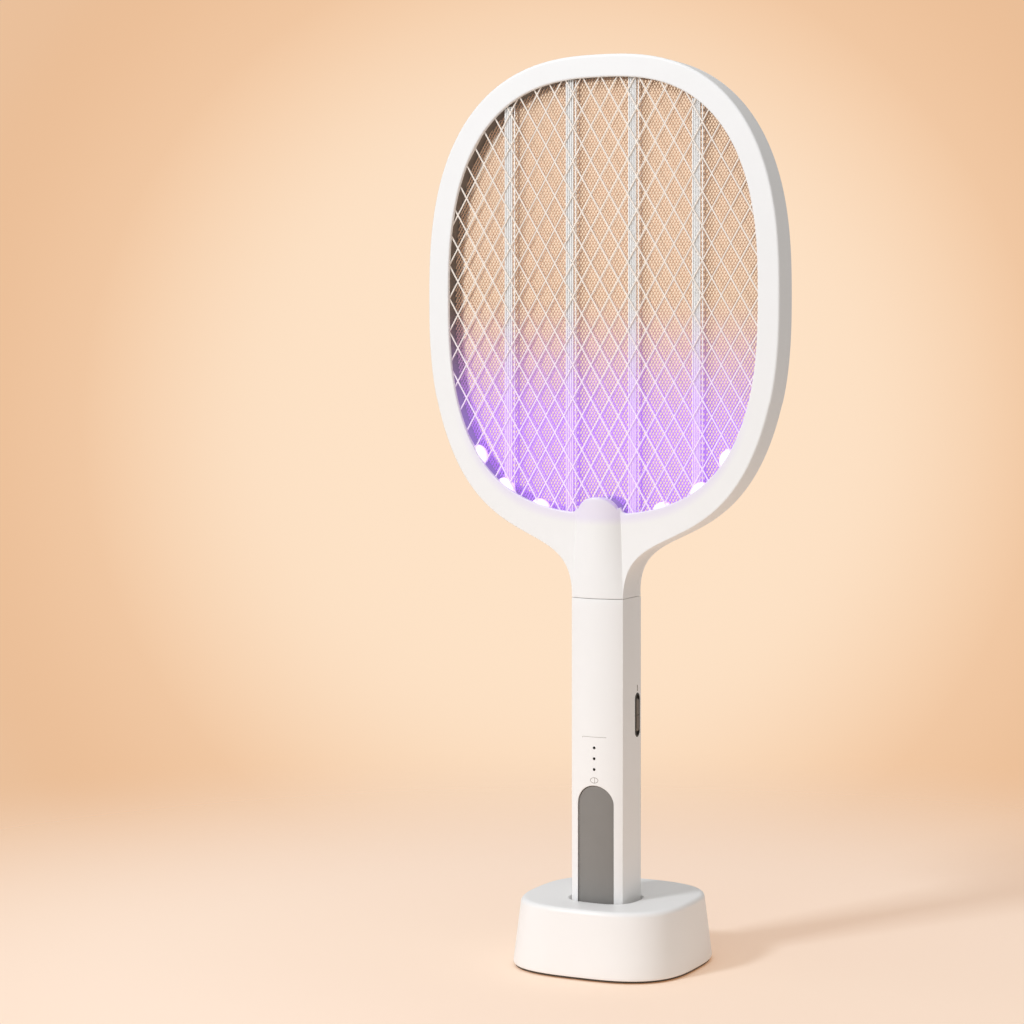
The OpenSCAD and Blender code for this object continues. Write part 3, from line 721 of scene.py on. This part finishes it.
def makeUprights():
    # a grooved strip of four fillets on a web, with a spine behind it and a thin bar beside it
    look = dict(pitch=38.4, past=0.2, lap=0.05, fillets=(-1.95, -0.65, 0.65, 1.95), fillet=0.32, front=-8.15,
                face=-6.9, webHalf=2.2, web=-6.3, spineHalf=0.6, spine=-3.4, beside=3.7, besideHalf=0.3,
                besideFront=-7.6, rearHalf=0.4, rearFront=5.0, rearBack=6.15)
    ribs, bars = bmesh.new(), bmesh.new()
    for i in (-1.5, -0.5, 0.5, 1.5):
        x = i * look["pitch"]
        reach = opening["b"] * (1 - (abs(x) / opening["a"]) ** opening["power"]) ** (1 / opening["power"])
        low, high = head["middle"] - reach - look["past"], head["middle"] + reach + look["past"]

        def upright(bm, at, half, front, back, bevel, segments=2):
            addBar(bm, (at - half, front, low), (at + half, back, high), bevel, segments)

        for offset in look["fillets"]:
            upright(ribs, x + offset, look["fillet"], look["front"], look["face"], 0.1, 1)
        upright(ribs, x, look["webHalf"], look["face"] - look["lap"], look["web"], 0.1, 1)
        upright(ribs, x, look["spineHalf"], look["web"] - look["lap"], look["spine"], 0.15)
        upright(ribs, x + look["beside"], look["besideHalf"], look["besideFront"], look["face"], 0.15)
        upright(bars, x, look["rearHalf"], look["rearFront"], look["rearBack"], 0.25)
    finishPiece("ribs_front", ribs, ribAbs, "racket", ["front_ribs"])
    finishPiece("bars_rear", bars, ribAbs, "racket", ["rear_bars"])


makeUprights()


def makeLamps():
    look = dict(turns=(17.5, 28.8, 40.3), along=6.0, out=4.5, deep=2.6, y=-7.0)
    size = Matrix.Diagonal((look["along"] * mm, look["out"] * mm, look["deep"] * mm, 1))
    bm = bmesh.new()
    for turn in look["turns"]:
        for side in (-1, 1):
            angle = math.radians(270 + side * turn)
            x, z = openingEdge(angle)
            ahead = openingEdge(angle + 0.01)
            tangent = Vector((ahead[0] - x, 0, ahead[1] - z)).normalized()
            inward = Vector((tangent.z, 0, -tangent.x))
            if inward.dot(Vector((-x, 0, head["middle"] - z))) < 0:
                inward = -inward
            basis = Matrix((tangent, inward, tangent.cross(inward))).transposed().to_4x4()
            place = Matrix.Translation(Vector((x, look["y"], z)) * mm) @ basis @ size
            bmesh.ops.create_uvsphere(bm, u_segments=28, v_segments=16, radius=1, matrix=place)
    bmesh.ops.recalc_face_normals(bm, faces=bm.faces)
    finishPiece("lamp_domes", bm, lampAcrylic, "racket", ["light_windows"])


makeLamps()
print("head inside made")

# Handle

handle = dict(half=15.65, foot=9.05, top=206.85, back=12.4, wall=1.8, panelHalf=10.7, panelTop=102.6, panelFoot=14.0,
              gap=0.3, sunk=0.9)


def roundTopOutline(half, foot, top, counts):
    # up the right side, over the round top, down the left side and back along the foot
    side, arch, bottom = counts
    middle = top - half
    points = [(half, foot + (middle - foot) * i / side) for i in range(side)]
    turns = [math.pi * i / arch for i in range(arch)]
    points += [(half * math.cos(turn), middle + half * math.sin(turn)) for turn in turns]
    points += [(-half, middle - (middle - foot) * i / side) for i in range(side)]
    points += [(-half + 2 * half * i / bottom, foot) for i in range(bottom)]
    return points


def squareOutline(half, foot, top, counts):
    side, arch, bottom = counts
    points = [(half, foot + (top - foot) * i / side) for i in range(side)]
    points += [(half - 2 * half * i / arch, top) for i in range(arch)]
    points += [(-half, top - (top - foot) * i / side) for i in range(side)]
    points += [(-half + 2 * half * i / bottom, foot) for i in range(bottom)]
    return points


def makeHandleFront():
    look = dict(counts=(60, 64, 40), rimRound=0.3, edgeRound=0.75, seamRound=0.18, lip=0.12, faceRows=22, arcRows=4)
    gap = handle["gap"]
    inner = roundTopOutline(handle["panelHalf"] + gap, handle["panelFoot"] - gap, handle["panelTop"] + gap,
                            look["counts"])
    outer = squareOutline(handle["half"], handle["foot"], handle["top"], look["counts"])
    faceEnd = faceRowCount(look)
    last = faceEnd + 6

    def place(i, row):
        a, b = inner[i], outer[i]
        if row == 0 or row == last:
            return a[0], frontArc(a[0]) + handle["wall"], a[1]
        if row <= faceEnd:
            onEnd = b[1] > handle["top"] - 0.01 or b[1] < handle["foot"] + 0.01
            roundOut = look["seamRound" if onEnd else "edgeRound"]
            x, z, drop = facePoint(row, look, a, b, look["rimRound"], roundOut)
            return x, frontArc(x) + drop, z
        row -= faceEnd
        if row <= 2:
            return b[0], (0.0, handle["back"] - look["lip"])[row - 1], b[1]
        wall = handle["wall"] if row > 3 else look["lip"]
        x = max(-handle["half"] + wall, min(handle["half"] - wall, b[0]))
        z = max(handle["foot"] + wall, min(handle["top"] - wall, b[1]))
        return x, handle["back"] if row <= 4 else frontArc(x) + handle["wall"], z

    bm = skin(len(inner), last + 1, place)
    piece = finishPiece("handle_front", bm, shellAbs, "racket", ["handle_shell"])
    cutAway(piece, pillSolid(switch["hole"], -1.4, 1, 0, shift=-racketSet))


switch = dict(y=7.8, z=140.4, hole=(7.0, 25.0), bezel=(6.9, 24.9), recess=(4.6, 22.7), cap=(3.2, 18.2))


def pillSolid(size, inside, outside, bevel, shift=0.0):
    # a pill-shaped block lying on the handle's side, from inside to outside of its flat face
    width, length = size
    sides, segments = 40, 3
    x0, x1 = handle["half"] + inside, handle["half"] + outside
    levels = [(0.0, x0), (1.0, x0)]
    for k in range(segments + 1):
        turn = math.pi / 2 * k / segments
        levels.append((1 - bevel / (width / 2) * (1 - math.cos(turn)), x1 - bevel * (1 - math.sin(turn))))
    levels += [(0.0, x1)]

    def place(i, row):
        turn = 2 * math.pi * i / sides
        c, s = math.cos(turn), math.sin(turn)
        straight = (length - width) / 2 * (1 if s >= 0 else -1)
        part, x = levels[row]
        return x, switch["y"] + shift + c * width / 2 * part, switch["z"] + (s * width / 2 + straight) * part

    return skin(sides, len(levels), place)


def crownPoint(row, look, edge, spine):
    # rows from 0 run from an edge to a middle line over a rounded edge: x, z and how far the surface drops there
    arcs = 4
    if row <= arcs:
        turn = math.pi / 2 * row / arcs
        drop = look["edgeRound"] * (1 - math.sin(turn))
        return *along(edge, spine, look["edgeRound"] * (1 - math.cos(turn))), drop
    start = look["edgeRound"] / math.dist(edge, spine)
    part = start + (1 - start) * (row - arcs) / look["rows"]
    return edge[0] + (spine[0] - edge[0]) * part, edge[1] + (spine[1] - edge[1]) * part, 0.0


def makeHandleBack():
    look = dict(counts=(60, 40, 40), edgeRound=0.5, shallow=0.6, crown=0.45, lift=0.1, inset=10, rows=16,
                wellX=11.8, wellZ=(26, 176), wellFloor=12.6)
    outline = squareOutline(handle["half"], handle["foot"], handle["top"], look["counts"])
    inner = handle["back"] + look["lift"]

    def place(i, row):
        x, z = outline[i]
        middle = max(handle["foot"] + look["inset"], min(handle["top"] - look["inset"], z))
        if row == 0:
            return x * 0.8, inner, z + (middle - z) * 0.2
        if row == 1:
            return x, inner, z
        px, pz, drop = crownPoint(row - 1, look, (x, z), (0.0, middle))
        return px, max(handle["back"] + look["crown"], backArc(px)) - look["shallow"] * drop, pz

    bm = skin(len(outline), 6 + look["rows"], place)
    bmesh.ops.holes_fill(bm, edges=[e for e in bm.edges if e.is_boundary], sides=0)
    bmesh.ops.recalc_face_normals(bm, faces=bm.faces)
    piece = finishPiece("handle_back_cover", bm, shellAbs, "racket", ["handle_back"])
    wells = bmesh.new()
    for side in (-1, 1):
        for z in look["wellZ"]:
            addWell(wells, side * look["wellX"], look["wellFloor"], z)
    cutAway(piece, wells)


def makePanel():
    look = dict(counts=(50, 60, 30), edgeRound=0.45, thick=1.8, rows=14)
    outline = roundTopOutline(handle["panelHalf"], handle["panelFoot"], handle["panelTop"], look["counts"])
    low, high = handle["panelFoot"] + handle["panelHalf"], handle["panelTop"] - handle["panelHalf"]

    def face(x):
        return frontArc(x, sunk=handle["sunk"])

    def place(i, row):
        x, z = outline[i]
        middle = max(low, min(high, z))
        if row == 0:
            return 0.0, face(0) + look["thick"], middle
        if row == 1:
            return x, face(x) + look["thick"], z
        px, pz, drop = crownPoint(row - 2, look, (x, z), (0.0, middle))
        return px, face(px) + drop, pz

    bm = skin(len(outline), 7 + look["rows"], place)
    finishPiece("press_pad", bm, panelSoft, "panel", ["press_panel"])


makeHandleFront()
makeHandleBack()
makePanel()
print("handle made")


def makeSwitch():
    look = dict(notchFloor=0.05, notchReach=3, notchHalf=0.35)
    bezel = pillSolid(switch["bezel"], -1.3, 0.12, 0.3)
    piece = finishPiece("switch_surround", bezel, bezelAbs, "racket", ["switch_bezel"])
    cutAway(piece, pillSolid(switch["recess"], -0.75, 1, 0, shift=-racketSet))
    cap = pillSolid(switch["cap"], -0.7, 0.42, 0.35)
    knob = finishPiece("switch_cap", cap, knobAbs, "knob", ["slide_knob"])
    notch, y = bmesh.new(), switch["y"] - racketSet
    addBar(notch, (handle["half"] + look["notchFloor"], y - look["notchReach"], switch["z"] - look["notchHalf"]),
           (handle["half"] + 1, y + look["notchReach"], switch["z"] + look["notchHalf"]), 0.02, 1)
    cutAway(knob, notch)


def makeDots():
    look = dict(heights=(112, 118, 124), radius=0.85, deep=0.22, sunk=0.02)
    size = Matrix.Diagonal((look["radius"] * mm, look["deep"] * mm, look["radius"] * mm, 1))
    bm = bmesh.new()
    for z in look["heights"]:
        place = Matrix.Translation(Vector((0, head["frontTop"] + look["sunk"], z)) * mm)
        bmesh.ops.create_uvsphere(bm, u_segments=24, v_segments=12, radius=1, matrix=place @ size)
    finishPiece("indicator_dots", bm, gloss, "racket", ["indicator_pipes"])


def strokeOnFront(bm, points, radius):
    # a thin raised line that follows the handle's round front
    sunk, overlap = 0.1, 1.04
    spots = [Vector((x, frontArc(x) + sunk, z)) * mm for x, z in points]
    for start, end in zip(spots, spots[1:]):
        addRod(bm, start, end, radius, 8, overlap)


def makeMarks():
    look = dict(line=0.16, lineLeft=-7.2, lineLong=14.2, lineZ=130.0, lineEnd=[(-7.6, 129.3), (-7.5, 129.7)],
                mark=0.2, markAcross=2.3, markUp=1.5, markZ=105.9, barX=0.3, tickY=(7.4, 8.1), tickZ=(153.8, 157.2))
    bm = bmesh.new()
    # the front line is a shallow groove, drawn as a raised stroke whose grey is painted groove shade
    line = [(look["lineLeft"] + look["lineLong"] * i / 24, look["lineZ"]) for i in range(25)]
    strokeOnFront(bm, look["lineEnd"] + line, look["line"])
    finishPiece("front_line", bm, inkAndGrooveShadeGrey, "racket")
    bm = bmesh.new()
    across, up, turns = look["markAcross"], look["markUp"], [2 * math.pi * i / 28 for i in range(29)]
    strokeOnFront(bm, [(across * math.cos(t), look["markZ"] + up * math.sin(t)) for t in turns], look["mark"])
    strokeOnFront(bm, [(look["barX"], look["markZ"] + up * part) for part in (-1, 0, 1)], look["mark"])
    finishPiece("front_mark", bm, inkAndGrooveShadeGrey, "racket")
    bm = bmesh.new()
    addBar(bm, (handle["half"] - 0.1, look["tickY"][0], look["tickZ"][0]),
           (handle["half"] + 0.06, look["tickY"][1], look["tickZ"][1]), 0.03, 1)
    finishPiece("side_mark", bm, printDark, "racket")


makeSwitch()
makeDots()
makeMarks()
print("controls made")

# Dock

dock = dict(foot=51.2, low=51.6, shoulder=48.3, topFlat=45.7, bend=2.9, height=38.1, footHeight=1.6, segments=160,
            topPower=2.74, shoulderPower=2.86, footPower=3.0, pocketA=20.0, pocketB=18.0, pocketPower=2.8,
            pocketY=-9.7, rim=0.7, floor=8.95, innerFloor=7.35, innerTop=35.9, pocketWall=1.8, wall=2.2)


def dockRows():
    # from the pocket's floor up, over the top, down the outside and back up inside
    rim, height, bend = dock["rim"], dock["height"], dock["bend"]
    rows = [("pole", dock["floor"]), ("pocket", 0.0, dock["floor"]), ("pocket", 0.0, 20.0)]
    for k in range(5):
        turn = math.pi / 2 * k / 4
        rows.append(("pocket", rim * (1 - math.cos(turn)), height - rim * (1 - math.sin(turn))))
    rows += [("blend", part, height) for part in (0.25, 0.5, 0.75)]
    for k in range(9):
        turn = math.pi / 2 * k / 8
        reach = dock["topFlat"] + (dock["shoulder"] - dock["topFlat"]) * math.sin(turn)
        power = dock["topPower"] + (dock["shoulderPower"] - dock["topPower"]) * k / 8
        rows.append(("side", reach, height - bend * (1 - math.cos(turn)), power))
    for k in range(1, 6):
        reach = dock["shoulder"] + (dock["low"] - dock["shoulder"]) * k / 5
        power = dock["shoulderPower"] + (dock["footPower"] - dock["shoulderPower"]) * k / 5
        rows.append(("side", reach, height - bend - (height - bend - 3.0) * k / 5, power))
    outside = [(dock["low"], 2.5), (dock["foot"] + 0.1, 1.75), (dock["foot"] - 0.25, dock["footHeight"]),
               (dock["foot"] - dock["wall"], dock["footHeight"])]
    rows += [("side", reach, z, dock["footPower"]) for reach, z in outside]
    rows += [("side", dock["shoulder"] - dock["wall"], dock["innerTop"], dock["shoulderPower"]),
             ("pocket", dock["pocketWall"], dock["innerTop"]), ("pocket", dock["pocketWall"], dock["innerFloor"]),
             ("pole", dock["innerFloor"])]
    return rows


def makeDock():
    inlet = dict(clear=0.3, deep=14, sunk=2, high=3.4, z=7.2, round=1.6)
    rows = dockRows()

    def pocketEdge(grow, turn):
        x, y = squared(dock["pocketA"] + grow, dock["pocketB"] + grow, dock["pocketPower"], turn)
        return x, y + dock["pocketY"]

    def place(i, row):
        turn = 2 * math.pi * i / dock["segments"]
        kind, size = rows[row][:2]
        if kind == "pole":
            return 0, dock["pocketY"], size
        z = rows[row][2]
        if kind == "pocket":
            return *pocketEdge(size, turn), z
        if kind == "side":
            return *squared(size, size, rows[row][3], turn), z
        inner = pocketEdge(dock["rim"], turn)
        outer = squared(dock["topFlat"], dock["topFlat"], dock["topPower"], turn)
        return inner[0] + (outer[0] - inner[0]) * size, inner[1] + (outer[1] - inner[1]) * size, z

    bm = skin(dock["segments"], len(rows), place)
    piece = finishPiece("dock_body", bm, shellAbs, "dock", ["dock_shell"], shift=0)
    hole = bmesh.new()
    low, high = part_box("charge_socket")
    made = bmesh.ops.create_cube(hole, size=1)
    size = Vector((high.x - low.x + inlet["clear"] * mm, inlet["deep"] * mm, inlet["high"] * mm))
    bmesh.ops.scale(hole, vec=size, verts=made["verts"])
    bmesh.ops.translate(hole, vec=(0, high.y - inlet["sunk"] * mm, inlet["z"] * mm), verts=made["verts"])
    ends = [e for e in hole.edges if abs((e.verts[0].co - e.verts[1].co).normalized().y) > 0.9]
    bmesh.ops.bevel(hole, geom=ends, offset=inlet["round"] * mm, affect="EDGES", segments=6, profile=0.5, material=-1)
    cutAway(piece, hole)


makeDock()
print("dock made")

# Materials of the CAD nodes that stay

nodeLooks = dict(
    led_strip=boardFibre, led_chips=lampAcrylic, head_screws=steelZinc, grid_leads=leadRed, panel_pin=steelZinc,
    tact_switch=gloss, tact_plunger=charcoalAndGapShade, main_board=boardFibre, hv_transformer=tapeYellow, hv_capacitors=capRed,
    battery_cell=cellBlue, cell_contacts=nickelStrip, slide_switch=steelZinc, handle_screws=steelZinc,
    charge_pads=goldPin, dock_base=charcoalAndGapShade, dock_feet=footRubber, dock_board=boardFibre, contact_pins=goldPin,
    charge_socket=steelZinc, dock_screws=steelZinc)
for nodeName, look in nodeLooks.items():
    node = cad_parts[nodeName]
    node.data.materials.clear()
    node.data.materials.append(look)
print("node materials set")
